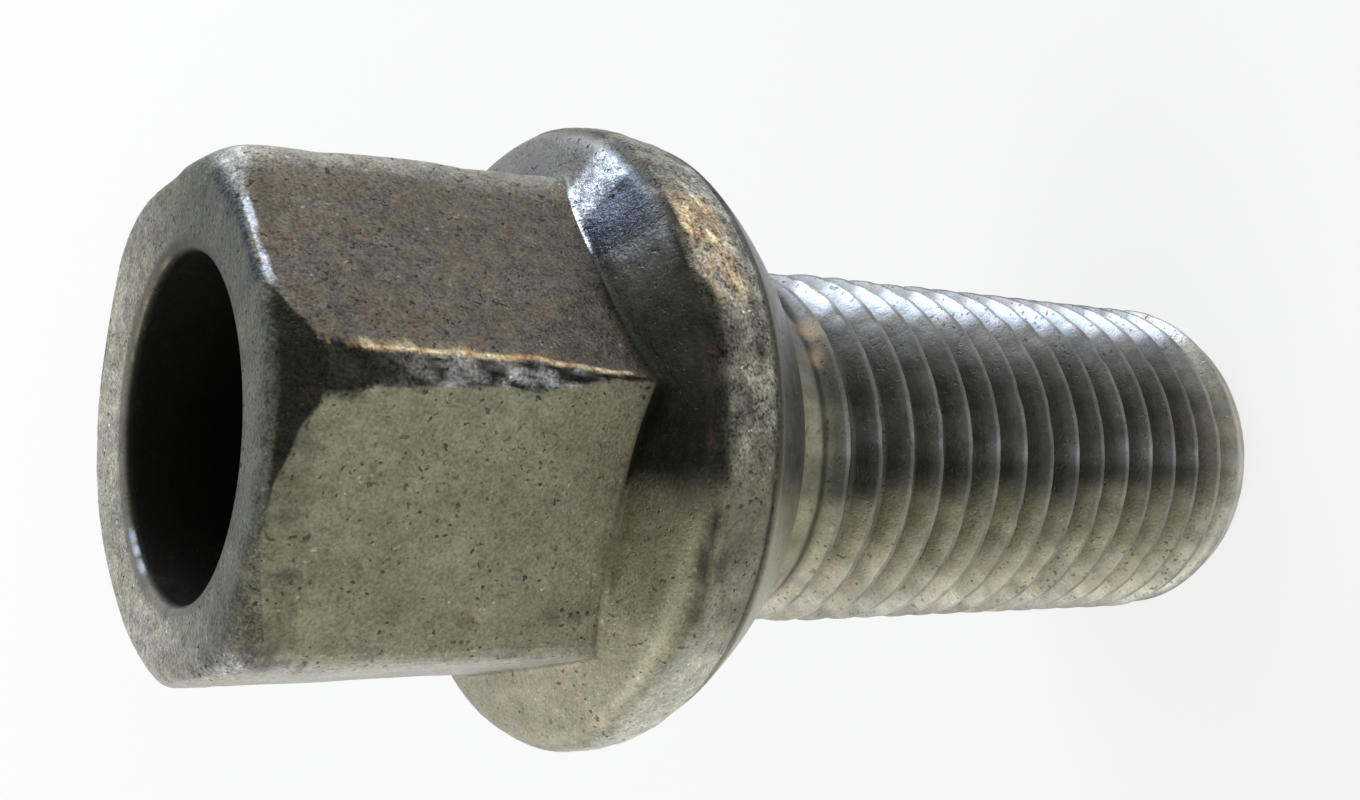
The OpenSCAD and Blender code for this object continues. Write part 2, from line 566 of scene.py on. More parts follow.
def head_points(phi):
    """Points of the head with its offset, its lean lower side and its unevenness."""
    r, t, zone = head_rows(phi)
    p = np.repeat(phi[None, :], len(r), axis=0)
    from_low = signed(p - LOW_SIDE_PHI)
    lean = window(from_low, -12.0, 12.0, 55.0) * window(t, 16.6, 18.0, 1.5)
    bulge = window(from_low, -20.0, 20.0, 35.0) * window(t, 14.0, 15.2, 0.6)
    outer = (zone >= SEAT)[:, None] & (zone <= BACK)[:, None]
    co = place(r + (0.06 * bulge - 0.34 * lean) * outer, p, LENGTH - t - face_dip(r, p, t))
    # The relief fades out beside the neck and the hollow
    relief = head_relief(p, t, r, zone) * smooth_step(r, 6.75, 7.4)
    co = co + surface_normals(co) * relief[:, :, None]
    # The offset fades out towards the hollow and along the seat
    share = smooth_step(r, 6.3, 7.9) * (zone <= FACE)[:, None] * fall(t, 15.0, 19.5)
    a = math.radians(HEAD_SHIFT_PHI)
    shift = HEAD_SHIFT * np.array([math.cos(a), math.sin(a), 0.0])
    co = co + share[:, :, None] * shift
    low, high = np.array(cad_box) / MM
    return np.clip(co, low, high), r, t, zone


# Finish at each point: colour with painted light and shade, roughness and grit
FINISH_VALUES = 5
BROWN_GREY = np.array([0.155, 0.134, 0.108])
OLIVE = np.array([0.250, 0.244, 0.166])
BEIGE = np.array([0.38, 0.36, 0.275])
PALE = np.array([0.48, 0.47, 0.41])
STEEL_GREY = np.array([0.20, 0.20, 0.20])
NEAR_RING = np.array([0.118, 0.126, 0.106])
RIM_GREY = np.array([0.27, 0.262, 0.225])
THREAD_GREY = np.array([0.092, 0.094, 0.080])
# Dark colours: for soot with painted shade and dark reflections, for darker thread roots, and
# painted shade in the hollow
SOOT_AND_SHADE = np.array([0.026, 0.026, 0.020])
ROOT_DARK = np.array([0.040, 0.041, 0.032])
HOLLOW_SHADE = np.array([0.012, 0.012, 0.010])
GOLD = np.array([0.80, 0.52, 0.24])
PALE_GOLD = np.array([1.0, 0.86, 0.58])
GOLD_BROWN = np.array([0.50, 0.36, 0.22])
# A painted gold glint
GOLD_GLINT = np.array([0.42, 0.36, 0.20])
REDDISH = np.array([0.085, 0.052, 0.038])
# Painted highlights and reflections, and painted dark reflections
HIGHLIGHT_BLUE = np.array([0.62, 0.68, 0.80])
REFLECTION_DARK_BLUE = np.array([0.048, 0.060, 0.084])
GREY_OLIVE = np.array([0.205, 0.203, 0.165])
# Flats in order around the axis, from the one between phi 0 and phi 60, each its own tone with
# painted light, paler towards -Y
FLAT_TONES = np.array([
    0.90 * BROWN_GREY, 0.85 * STEEL_GREY, GREY_OLIVE,
    1.15 * BROWN_GREY, 0.86 * PALE, 0.86 * OLIVE,
])
# Roughness and grit by zone, and elsewhere
ROUGHNESS = {SEAT: 0.34, RIM: 0.52, BACK: 0.30, FLANK: 0.48, FACE: 0.46, WALL: 0.7, FLOOR: 0.7}
GRIT = {SEAT: 0.4, RIM: 2.4, BACK: 0.8, FLANK: 1.0, FACE: 1.7}
OTHER_ROUGHNESS = 0.5
OTHER_GRIT = 0.5


def mix(a, b, w):
    """From colour a at a weight of zero to colour b at one, point by point."""
    w = np.asarray(w)[..., None]
    return a * (1.0 - w) + b * w


def scaled(tone, level):
    """A colour times a level at each point."""
    return tone * np.asarray(level)[..., None]


def rear_share(p, wobble, end):
    """One near -X, fading to zero at end degrees from it."""
    return fall(np.abs(signed(p - 176.0)) + 9.0 * wobble, 4.0, end)


def dark_reflection_share(p, wobble):
    """One where a dark reflection is painted near +X, and weaker near -X."""
    front = fall(np.abs(signed(p + 2.0)) + 5.0 * wobble, 15.0, 41.0)
    return np.clip(front + 0.55 * rear_share(p, wobble, 36.0), 0.0, 1.0)


def side_tone_and_light(p, wobble):
    """Plating around the axis: grey on +Y and olive to beige on -Y, paler there as painted light.
    """
    s = np.sin(np.radians(p))
    tone = mix(OLIVE, STEEL_GREY, smooth_step(s + 0.2 * wobble, -0.1, 0.45))
    return mix(tone, BEIGE, fall(s + 0.08 * wobble, -0.98, -0.6))


def pack_finish(tone, rough, grit):
    """Colour, roughness and grit side by side at each point."""
    shape = tone.shape[:-1]
    rest = [np.broadcast_to(v, shape)[..., None] for v in (rough, grit)]
    return np.concatenate([tone] + rest, axis=-1)


def tip_finish(shape):
    """Plain grey plating on the shank's end face."""
    return pack_finish(np.broadcast_to(0.75 * STEEL_GREY, shape + (3,)), 0.45, 0.5)


def thread_finish_and_light(z, p):
    """Darker roots, worn crests, a painted dark reflection towards +X and painted highlights
    towards +Y.
    """
    q = signed(p)
    depth = thread_depth(z, p)
    wobble = ring_noise(p, z * 0.35, 16, 91)
    stain = ring_noise(p, z * 1.4, 60, 145)
    cells = 0.75 + 0.25 * ring_noise(p, z * 1.1, 60, 141, 1)
    neck = smooth_step(z, 23.3, 24.3)
    inside = smooth_step(z, 0.0, 1.0) * fall(z, 24.2, 25.0)

    # The plating: a painted dark reflection with painted sheen towards +X, painted shade in some
    # bands, and paler at the tip and below as painted light
    toward_front = q + 4.0 * wobble
    front = smooth_step(toward_front, -33.0, -18.0) * fall(toward_front, 9.0, 37.0)
    dark = np.clip(front + 0.5 * rear_share(p, wobble, 40.0), 0.0, 1.0)
    dark = dark * (0.05 + 0.95 * smooth_step(z, 1.3, 4.6)) * (1.0 - 0.5 * neck)
    sheen = 1.0 + 0.25 * window(q, -12.0, 2.0, 3.0) - 0.25 * window(q, -27.0, -15.0, 3.0)
    tone = mix(side_tone_and_light(p, wobble), scaled(THREAD_GREY, sheen), dark)
    shade = 1.0 - 0.16 * window(q, -66.0, -40.0, 8.0) * (1.0 - neck)
    tone = scaled(tone, shade - 0.7 * neck * window(q, 45.0, 90.0, 9.0))
    tone = mix(tone, PALE, 0.65 * window(q, -110.0, -76.0, 10.0))
    tone = scaled(tone, 1.0 - 0.25 * window(q, 66.0, 100.0, 8.0))
    tone = mix(tone, PALE, 0.75 * fall(z, 0.9, 3.6))

    # Darker roots, a painted highlight above, small painted glints, and stains
    highlight = window(q, 44.0, 55.0, 7.0) + 0.12 * window(q, 62.0, 86.0, 8.0)
    highlight = highlight * (1.0 - 0.85 * smooth_step(z, 23.2, 24.0))
    upper = window(q, 38.0, 90.0, 8.0)
    root_darkening = (0.5 + 0.3 * upper) * smooth_step(depth, 0.6 - 0.2 * upper, 1.0) * inside
    tone = mix(tone, ROOT_DARK, root_darkening)
    worn_crest = fall(depth, 0.02, 0.25) * inside
    tone = mix(tone, STEEL_GREY, 0.25 * worn_crest * (1.0 - highlight))
    lit = highlight * cells * (1.0 - 0.9 * smooth_step(depth, 0.30, 0.80))
    tone = mix(tone, HIGHLIGHT_BLUE, 0.80 * lit)
    glints = bell(q + 9.0 + 3.0 * wobble, 3.2) * smooth_step(stain, -0.8, 0.3)
    glints = glints * fall(depth, 0.02, 0.30) * inside
    tone = mix(tone, 0.45 * HIGHLIGHT_BLUE, 0.45 * glints)
    tone = scaled(tone, 1.0 + 0.22 * stain * (1.0 - highlight))
    spot = window(q, 18.0, 30.0, 5.0) * window(z, 23.6, 24.4, 0.3) * smooth_step(stain, -0.5, 0.3)
    tone = mix(tone, GOLD_BROWN, 0.5 * spot)
    return pack_finish(tone, 0.34 + 0.14 * depth - 0.08 * highlight, 0.45)


def junction_distance(r, t, zone):
    """Distance along each column from where the collar's back meets the hexagon."""
    step = np.hypot(np.diff(r, axis=0), np.diff(t, axis=0))
    length = np.vstack([np.zeros((1, r.shape[1])), np.cumsum(step, axis=0)])
    joint = np.flatnonzero(zone == BACK)[-1]
    return length - length[joint]


def calm_side(q):
    """Share of the rim's smoother lower side."""
    return window(q, -128.0, -22.0, 14.0)


def rim_tone(t, p, wobble, speckle, lit_plating, low):
    """Mottled grey with a brassy patch, palest towards -Y as painted light."""
    q = signed(p)
    calm = calm_side(q)
    rim = mix(lit_plating, 0.88 * RIM_GREY, 0.75 * (1.0 - low) * (1.0 - 0.6 * calm))
    rim = mix(rim, 1.15 * PALE, 0.85 * low)
    rim = mix(rim, PALE, 0.35 * smooth_step(-speckle, 0.1, 0.8) * (1.0 - 0.7 * calm))
    blotch = smooth_step(ring_noise(p, t * 1.3, 60, 103), -0.1, 0.6)
    blotch = blotch * (0.5 + 0.5 * window(q, -60.0, 40.0, 20.0))
    dark = 0.60 * blotch + 0.40 * smooth_step(speckle, 0.1, 0.8)
    rim = mix(rim, 2.0 * SOOT_AND_SHADE, dark * (1.0 - 0.9 * low) * (1.0 - 0.35 * calm))
    brass = window(q, 15.0, 32.0, 6.0) * window(t, 13.7, 14.8, 0.6)
    stained = 0.9 * brass * smooth_step(speckle + 0.5 * wobble, -0.9, 0.0)
    rim = mix(rim, 0.50 * GOLD_BROWN, stained)
    rim = mix(rim, PALE_GOLD, 0.75 * brass * smooth_step(speckle, 0.05, 0.6))
    # Painted light brighter at 17 to 40 degrees, and painted shade at -46 to -8 degrees
    shade = 1.0 + 0.75 * window(q, 17.0, 40.0, 8.0)
    shade = shade - 0.22 * window(q, -46.0, -20.0, 7.0) - 0.16 * window(q, -26.0, -8.0, 6.0)
    return scaled(rim, shade)


def collar_tone(t, z, p, wobble, speckle, gap):
    """Seat, rim and back of the collar, and the share of the back's shiny patch."""
    q = signed(p)
    on_back = z == BACK
    # Painted dark reflection towards +X, weaker towards -X; the plating is darker towards +Y and
    # paler towards -Y as painted light
    dark_reflection = dark_reflection_share(p, wobble) * (1.0 - 0.9 * window(q + 3.0 * wobble, -60.0, -25.0, 9.0))
    lit_plating = side_tone_and_light(p, wobble)
    dark_colour = mix(0.8 * SOOT_AND_SHADE, 1.9 * SOOT_AND_SHADE, smooth_step(q, -8.0, 6.0))
    level = 1.0 - 0.30 * window(q, 57.0, 100.0, 6.0) + 0.12 * window(q, -130.0, -30.0, 8.0)
    tone = mix(scaled(lit_plating, level), dark_colour, dark_reflection)

    # Painted blue reflection on the shiny patch, brightest near its upper end, with a painted
    # glint along its edge against the hexagon
    shine = smooth_step(np.abs(ring_noise(p, t * 2.0, 80, 133, 2)), 0.10, 0.40)
    patch = bright_patch(q, t) * on_back
    core = window(q + 1.5 * speckle, 46.5, 52.5, 3.0) * fall(t, 12.85, 13.1)
    blue = scaled(REFLECTION_DARK_BLUE, (1.15 + 0.45 * smooth_step(q, 36.0, 44.0)) * (0.75 + 0.5 * shine))
    tone = mix(tone, mix(blue, HIGHLIGHT_BLUE, core * (0.45 + 0.55 * shine)), patch)
    glint = window(q, 38.0, 50.0, 2.0) * bell(gap + 0.03, 0.09) * on_back
    tone = mix(tone, 1.2 * HIGHLIGHT_BLUE, glint)

    # The rim, with a dark ragged line along its edge that is wider near +X
    low = smooth_step(-np.sin(np.radians(p)), 0.50, 0.85)
    wander = ridge_wander(p) + 0.14 * line_noise(p / 360.0 * 80, 25, 80)
    near_front = window(q, -45.0, 12.0, 8.0)
    on_rim = smooth_step(t - wander, 13.35 + 0.22 * near_front, 13.65 + 0.35 * near_front)
    on_rim = on_rim * (z <= BACK) * (z >= RIM)
    tone = mix(tone, rim_tone(t, p, wobble, speckle, lit_plating, low), on_rim)
    ridge = bell(t - 13.3 - 0.10 * near_front - wander, 0.24 + 0.08 * near_front + 0.08 * speckle)
    ridge = ridge * on_back * (1.0 - 0.7 * low)
    tone = mix(tone, 0.8 * SOOT_AND_SHADE, 0.95 * ridge * smooth_step(speckle, -1.0, -0.2))
    tone = mix(tone, REDDISH, 0.5 * ridge * near_front * smooth_step(speckle, 0.1, 0.7))

    # The seat, darker towards +Y as painted shade and with the painted dark reflection, and
    # painted shade in the seam between it and the rim
    seat = scaled(lit_plating, 1.0 - 0.6 * window(q, 36.0, 90.0, 9.0))
    seat = mix(seat, 0.7 * THREAD_GREY, 0.9 * dark_reflection)
    tone = np.where((z <= SEAT)[..., None], seat, tone)
    seam = bell(t - SEAM_T, 0.14) * (z <= RIM) * (z >= SEAT)
    seam = seam * (0.8 - 0.35 * smooth_step(q, -25.0, -8.0)) * (1.0 - 0.5 * low)
    tone = mix(tone, SOOT_AND_SHADE, seam)

    # Painted shade in the corner between collar and hexagon, widest beside the battered corner
    wedge = window(q, -19.0, -3.0, 4.0)
    reach = 0.10 + 0.60 * wedge * smooth_step(q, -24.0, -3.0)
    open_side = smooth_step(-q, 24.0, 36.0) * (q > -66.0)
    corner_shade = np.exp(-(np.minimum(gap, 0.0) / reach) ** 4) * on_back
    corner_shade = corner_shade * (0.5 + 0.5 * wedge - 0.35 * open_side)
    return mix(tone, 0.25 * SOOT_AND_SHADE, corner_shade * (1.0 - glint)), patch


def upper_end(q):
    """One along the end of the upper flat."""
    return window(q, 22.0, 57.0, 5.0)


def flank_tone(t, p, wobble, speckle, gap):
    """The flats, and the shares of the rounded ends and of the battered corner."""
    q = signed(p)
    # Each flat has its own tone with painted light, blended over a few degrees at the corners
    steps = (-2.4, -0.8, 0.8, 2.4)
    tone = sum(FLAT_TONES[np.floor((p + k) / 60.0).astype(int) % 6] for k in steps) / len(steps)
    # Paler towards the corner at 60 degrees as painted light
    tone = mix(tone, PALE, 0.55 * smooth_step(q, 50.0, 59.0) * (q < 62.0))
    # Painted shade beside the collar
    shaded = window(q, 1.5, 26.0, 2.0)
    open_side = smooth_step(-q, 24.0, 36.0) * (q > -62.0)
    collar_shade = bell(gap, 0.12 + 0.24 * shaded)
    tone = mix(tone, 0.15 * tone, collar_shade * (0.5 + 0.35 * shaded - 0.35 * open_side))
    # Pale wear on the corners, and dark stains and chips on the lower flat
    corner = np.abs(np.mod(p + 30.0, 60.0) - 30.0)
    worn = bell(corner, 1.7) * smooth_step(wobble + speckle, -0.4, 0.8)
    tone = mix(tone, PALE, 0.3 * worn * (np.abs(q) > 20.0))
    lower_flat = window(q, -62.0, -10.0, 3.0)
    streaks = smooth_step(ring_noise(p, t * 1.3, 210, 107), -0.5, 0.9)
    stains = lower_flat * fall(t + 0.5 * speckle, 0.8, 2.2)
    tone = mix(tone, 2.2 * SOOT_AND_SHADE, stains * (0.25 + 0.5 * streaks))
    chips = window(q, -62.0, -52.0, 4.0) * smooth_step(speckle + 0.6 * wobble, 0.35, 0.8)
    tone = mix(tone, 2.0 * SOOT_AND_SHADE, 0.55 * chips)

    # The battered corner: dark burrs, brighter torn metal partly as a painted highlight, and a
    # painted golden highlight on its upper edge
    rounded = off_flat(p, t)
    band = burr_band(q, t) * window(t, 0.4, 12.0, 0.6)
    torn = smooth_step(torn_lumps(p, t), -0.6, 0.9)
    torn = torn * smooth_step(t, 2.8, 5.8) * fall(t, 10.6, 11.6)
    torn_metal_and_sheen = scaled(STEEL_GREY, 1.5 + 0.9 * smooth_step(t, 6.5, 8.5))
    tone = mix(tone, mix(0.55 * SOOT_AND_SHADE, torn_metal_and_sheen, 0.9 * torn), band)
    beads = line_noise(t * 3.6, 63)
    thick = 0.50 - 0.22 * smooth_step(t, 6.5, 10.5)
    gold_highlight = bell(q - band_edges(t)[0] - 0.2, thick) * window(t, 3.1, 11.2, 0.9)
    gold = mix(GOLD, PALE_GOLD, smooth_step(beads, -0.6, 0.3))
    tone = mix(tone, gold, gold_highlight * (0.80 + 0.20 * beads))
    sparks = window(q, 5.0, 8.0, 1.5) * window(t, 1.4, 2.4, 0.4) * (1.0 - rounded)
    tone = mix(tone, GOLD, 0.8 * sparks * smooth_step(streaks + 0.5 * speckle, 0.4, 0.9))

    # The rounded ends: painted dark reflection beside the battered corner, and paler or stained
    # edges
    dark_reflection = window(q, -24.0, 15.0, 7.0) * rounded * window(t, 0.14, 2.4, 0.3)
    edge = rounded * (1.0 - dark_reflection) * smooth_step(corner, 40.0, 0.0) * fall(t, 0.7, 1.5)
    tone = mix(tone, 1.2 * STEEL_GREY, 0.5 * edge * (1.0 - 0.9 * lower_flat))
    stained = rounded * lower_flat * (1.0 - dark_reflection) * window(t, 0.1, 1.2, 0.2)
    tone = mix(tone, 2.2 * SOOT_AND_SHADE, 0.45 * stained)
    tone = mix(tone, 0.9 * SOOT_AND_SHADE, dark_reflection)
    # Painted highlight along the end of the upper flat
    end_highlight = upper_end(q) * smooth_step(speckle + 0.5 * wobble, -0.6, 0.3)
    tone = mix(tone, 0.9 * HIGHLIGHT_BLUE, end_highlight * window(t, 0.24, 0.38, 0.07))
    return tone, rounded, band


def ring_tone(r, t, p, wobble, speckle):
    """The end face around the hollow, paler towards -X and darker at the hollow, as painted light.
    """
    away = smooth_step(-np.cos(np.radians(p - 12.0)), -0.55, 0.74)
    tone = mix(NEAR_RING, PALE, away)
    tone = mix(tone, OLIVE, 0.35 * smooth_step(wobble, -0.2, 0.8) * (1.0 - 0.6 * away))
    tone = mix(tone, 0.6 * tone, 0.45 * smooth_step(speckle, 0.0, 0.9))
    # A painted dark reflection along the end of the upper flat
    line = upper_end(signed(p)) * window(t, 0.03, 0.13, 0.04)
    tone = mix(tone, REFLECTION_DARK_BLUE, 0.85 * line)
    return mix(tone, 0.4 * tone, 0.7 * fall(r, 5.9, 6.25))


def lip_tone(ring, wall, t, q, speckle):
    """The hollow's lip, from the ring's colour into the painted shade of the hollow, with a
    painted gold glint and a painted highlight.
    """
    tone = mix(ring, wall, smooth_step(t, 0.04, 0.22))
    gold_glint = window(q, 100.0, 146.0, 8.0) * window(t, 0.09, 0.13, 0.04)
    tone = mix(tone, GOLD_GLINT, 0.7 * gold_glint * smooth_step(speckle, -0.6, 0.4))
    glint = window(q, -150.0, -136.0, 5.0) * window(t, 0.07, 0.15, 0.05)
    return mix(tone, HIGHLIGHT_BLUE, 0.8 * glint * smooth_step(speckle, -0.8, 0.2))


def by_zone(z, values, other):
    """The value that each point's zone has in a table, or another one."""
    return np.select([z == k for k in values], list(values.values()), other)


def head_finish_and_light(r, t, zone, phi):
    """Colour, roughness and grit from the neck into the hollow."""
    p = np.repeat(phi[None, :], len(r), axis=0)
    q = signed(p)
    z = zone[:, None] + 0 * p
    wobble = ring_noise(p, t * 0.4, 22, 95)
    speckle = ring_noise(p, t * 1.6 + r * 0.9, 90, 99)
    gap = junction_distance(r, t, zone)
    collar, patch = collar_tone(t, z, p, wobble, speckle, gap)
    flats, rounded, band = flank_tone(t, p, wobble, speckle, gap)
    ring = ring_tone(r, t, p, wobble, speckle)
    ring = mix(ring, flats, smooth_step(t, 0.12, 0.30) * (z == FACE))
    # The hollow's wall and floor carry painted shade
    wall = np.broadcast_to(HOLLOW_SHADE, flats.shape)
    lip = lip_tone(ring, wall, t, q, speckle)
    tone = np.select(
        [(z == k)[..., None] for k in (FLANK, FACE, LIP, WALL, FLOOR)],
        [flats, ring, lip, wall, wall], collar,
    )
    # The rim's finish goes on over the edge of the collar's back
    over_edge = (z == BACK) & (t > 13.4)
    rough = by_zone(z, ROUGHNESS, OTHER_ROUGHNESS)
    rough = rough - 0.08 * patch + 0.20 * (z == BACK) * smooth_step(-q, 20.0, 38.0)
    rough = rough + 0.35 * bell(gap, 0.2) * window(q, -64.0, 34.0, 3.0)
    rough = np.where(over_edge, 0.50, rough)
    rough = np.where(rounded * (z == FLANK) > 0.5, 0.36, rough)
    grit = np.where(over_edge, GRIT[RIM], by_zone(z, GRIT, OTHER_GRIT))
    grit = grit - 1.4 * calm_side(q) * (over_edge | (z == RIM))
    upper_flat = window(q, 5.0, 56.0, 3.0)
    grit = grit + (1.0 * band + 0.6 * upper_flat) * (z == FLANK) + 1.0 * patch
    return pack_finish(tone, rough, grit)


# Mesh, with its distances for merging in metres
MERGE_DISTANCE = 2e-6
SHORTEST_EDGE = 1e-7


def build_bolt():
    """Points, faces and the finish at each point."""
    phi = column_angles()
    n = len(phi)
    r_low, z_low = thread_rows(phi)
    p_low = np.repeat(phi[None, :], len(r_low), axis=0)
    thread = place(r_low, p_low, z_low)
    p_tip = np.repeat(phi[None, :], len(TIP_RINGS), axis=0)
    tip = place(r_low[0] * TIP_RINGS[:, None], p_tip, np.zeros(p_tip.shape))
    head, r_up, t_up, zone = head_points(phi)
    # The head's first row lies on the thread's last one, and its last row is one point
    co = np.concatenate([tip, thread, head[1:-1]])
    rows = len(co)
    ends = np.array([[0.0, 0.0, 0.0], [0.0, 0.0, LENGTH - CONE_END]])
    verts = np.vstack([co.reshape(-1, 3), ends])
    # The helical rows step up by one pitch where the last column meets the first
    first = len(TIP_RINGS)
    last = first + len(r_low) - 1
    row = np.arange(rows)
    in_thread = (row >= first) & (row <= last)
    wrap = np.where(in_thread, np.minimum(row + len(THREAD_LEVELS), last), row)
    grid = row[:, None] * n + np.arange(n)[None, :]
    grid = np.hstack([grid, (wrap * n)[:, None]])
    quads = np.stack([grid[:-1, :-1], grid[:-1, 1:], grid[1:, 1:], grid[1:, :-1]], 2)
    faces = quads.reshape(-1, 4).tolist()
    low_point = rows * n
    faces += [[low_point, (c + 1) % n, c] for c in range(n)]
    high_row = (rows - 1) * n
    faces += [[low_point + 1, high_row + c, high_row + (c + 1) % n] for c in range(n)]
    finish = np.concatenate([
        tip_finish(tip.shape[:2]), thread_finish_and_light(z_low, p_low),
        head_finish_and_light(r_up, t_up, zone, phi)[1:-1],
    ])
    finish = finish.reshape(-1, FINISH_VALUES)
    finish = np.vstack([finish, finish[:1], finish[-1:]])
    return verts, faces, finish


def add_object(name, data):
    """A new object in the scene."""
    made = bpy.data.objects.new(name, data)
    bpy.context.scene.collection.objects.link(made)
    return made


def make_bolt():
    """The bolt's mesh object, with its finish as attributes of the points."""
    verts, faces, finish = build_bolt()
    mesh = bpy.data.meshes.new("wheel_bolt_surface")
    mesh.from_pydata((verts * MM).tolist(), [], faces)
    tone = np.hstack([finish[:, :3], np.ones((len(verts), 1))])
    colour = mesh.attributes.new("tone", "FLOAT_COLOR", "POINT")
    colour.data.foreach_set("color", tone.ravel())
    for k, name in ((3, "rough"), (4, "grit")):
        layer = mesh.attributes.new(name, "FLOAT", "POINT")
        layer.data.foreach_set("value", finish[:, k].astype(np.float32))
    # Rows that were cut off at the ends of the thread lie on each other and are merged
    shape = bmesh.new()
    shape.from_mesh(mesh)
    bmesh.ops.remove_doubles(shape, verts=shape.verts, dist=MERGE_DISTANCE)
    bmesh.ops.dissolve_degenerate(shape, edges=shape.edges, dist=SHORTEST_EDGE)
    bmesh.ops.recalc_face_normals(shape, faces=shape.faces)
    for face in shape.faces:
        face.smooth = True
    shape.to_mesh(mesh)
    shape.free()
    return add_object("wheel_bolt_surface", mesh)


# Material
WARM = (1.05, 1.0, 0.94, 1.0)
COOL = (0.96, 1.0, 1.02, 1.0)
RUST = (0.16, 0.10, 0.055, 1.0)
PIT_DARK = (0.02, 0.018, 0.014, 1.0)
WHITE = (1.0, 1.0, 1.0, 1.0)


def fill_socket(tree, socket, value):
    """Links another node's output to a socket, or sets a plain value on it."""
    if isinstance(value, bpy.types.NodeSocket):
        tree.links.new(value, socket)
    else:
        socket.default_value = value


def add_node(tree, kind, inputs=None, **settings):
    """A new node with its settings, and with its inputs filled by name or number."""
    node = tree.nodes.new(kind)
    for key, value in settings.items():
        setattr(node, key, value)
    for key, value in (inputs or {}).items():
        fill_socket(tree, node.inputs[key], value)
    return node


def noise(tree, vector, scale, detail=3.0, rough=0.55):
    """Noise texture with a number of cells per unit of the vector."""
    values = {"Vector": vector, "Scale": scale, "Detail": detail, "Roughness": rough}
    return add_node(tree, "ShaderNodeTexNoise", values).outputs["Fac"]


def ramp(tree, value, low, high, to_low=0.0, to_high=1.0):
    """Straight ramp of a value between two levels, clamped."""
    values = {"Value": value, "From Min": low, "From Max": high}
    values.update({"To Min": to_low, "To Max": to_high})
    return add_node(tree, "ShaderNodeMapRange", values).outputs["Result"]


def calc(tree, operation, a, b):
    """Sum, difference or the like of two values."""
    return add_node(tree, "ShaderNodeMath", {0: a, 1: b}, operation=operation).outputs[0]


def blend(tree, fac, a, b, mode="MIX"):
    """Colour mix; its sockets go by number because factor and colours share their names."""
    values = {0: fac, 6: a, 7: b}
    node = add_node(
        tree, "ShaderNodeMix", values, data_type="RGBA", blend_type=mode, clamp_factor=True
    )
    return node.outputs[2]


def times(tree, a, b):
    """Product of two values."""
    return calc(tree, "MULTIPLY", a, b)


def attribute(tree, name, output="Fac"):
    """A value or colour that the mesh holds at its points."""
    return add_node(tree, "ShaderNodeAttribute", attribute_name=name).outputs[output]


def steel_material():
    """Worn zinc plating: tone and painted light from the finish, broken up by pits, grain and
    specks.
    """
    mat = bpy.data.materials.new("plated_steel")
    mat.use_nodes = True
    tree = mat.node_tree
    shader = tree.nodes["Principled BSDF"]
    coords = add_node(tree, "ShaderNodeTexCoord").outputs["Object"]
    to_mm = {0: coords, "Scale": 1.0 / MM}
    mm = add_node(tree, "ShaderNodeVectorMath", to_mm, operation="SCALE").outputs[0]
    tone = attribute(tree, "tone", "Color")
    rough = attribute(tree, "rough")
    grit = attribute(tree, "grit")

    cloud = noise(tree, mm, 0.42, 4.0, 0.6)
    mottle = noise(tree, mm, 1.9, 5.0, 0.65)
    grain = noise(tree, mm, 9.0, 2.0, 0.5)
    pit_gate = ramp(tree, noise(tree, mm, 0.8, 2.0), 0.38, 0.56)
    pits = ramp(tree, noise(tree, mm, 4.9, 1.5, 0.4), 0.650, 0.71)
    pits = times(tree, pits, pit_gate)
    speck_gate = ramp(tree, noise(tree, mm, 1.2, 2.0), 0.46, 0.60)
    specks = ramp(tree, noise(tree, mm, 5.6, 1.0, 0.4), 0.32, 0.25)
    specks = times(tree, specks, speck_gate)

    # The grittier the surface, the more its tone is broken up
    level = ramp(tree, mottle, 0.3, 0.7, -0.26, 0.26)
    level = calc(tree, "ADD", level, ramp(tree, grain, 0.3, 0.7, -0.26, 0.26))
    level = calc(tree, "ADD", times(tree, level, grit), 1.0)
    level = times(tree, level, ramp(tree, cloud, 0.3, 0.7, 0.84, 1.16))
    gritty_specks = times(tree, specks, grit)
    level = times(tree, level, ramp(tree, gritty_specks, 0.0, 2.0, 1.0, 2.6))
    grey = add_node(tree, "ShaderNodeCombineColor", {0: level, 1: level, 2: level}).outputs[0]
    colour = blend(tree, 1.0, tone, grey, "MULTIPLY")
    hue = ramp(tree, noise(tree, mm, 1.1, 4.0, 0.6), 0.35, 0.65)
    colour = blend(tree, 1.0, colour, blend(tree, hue, WARM, COOL), "MULTIPLY")
    rust = ramp(tree, noise(tree, mm, 0.75, 4.0, 0.7), 0.60, 0.74, 0.0, 0.22)
    colour = blend(tree, rust, colour, RUST)
    pit_share = times(tree, pits, ramp(tree, grit, 0.4, 1.0, 0.15, 0.65))
    colour = blend(tree, pit_share, colour, PIT_DARK)
    tree.links.new(colour, shader.inputs["Base Color"])

    shader.inputs["Metallic"].default_value = 0.85
    rough = calc(tree, "ADD", rough, ramp(tree, mottle, 0.3, 0.7, -0.07, 0.09))
    rough = calc(tree, "ADD", rough, times(tree, pits, 0.25))
    tree.links.new(rough, shader.inputs["Roughness"])

    height = times(tree, ramp(tree, mottle, 0.25, 0.75), 0.55)
    height = calc(tree, "ADD", height, times(tree, grain, 0.35))
    height = calc(tree, "SUBTRACT", height, times(tree, pits, 0.8))
    height = times(tree, height, grit)
    values = {"Height": height, "Strength": 0.8, "Distance": 0.06 * MM}
    bump = add_node(tree, "ShaderNodeBump", values)
    tree.links.new(bump.outputs["Normal"], shader.inputs["Normal"])
    return mat


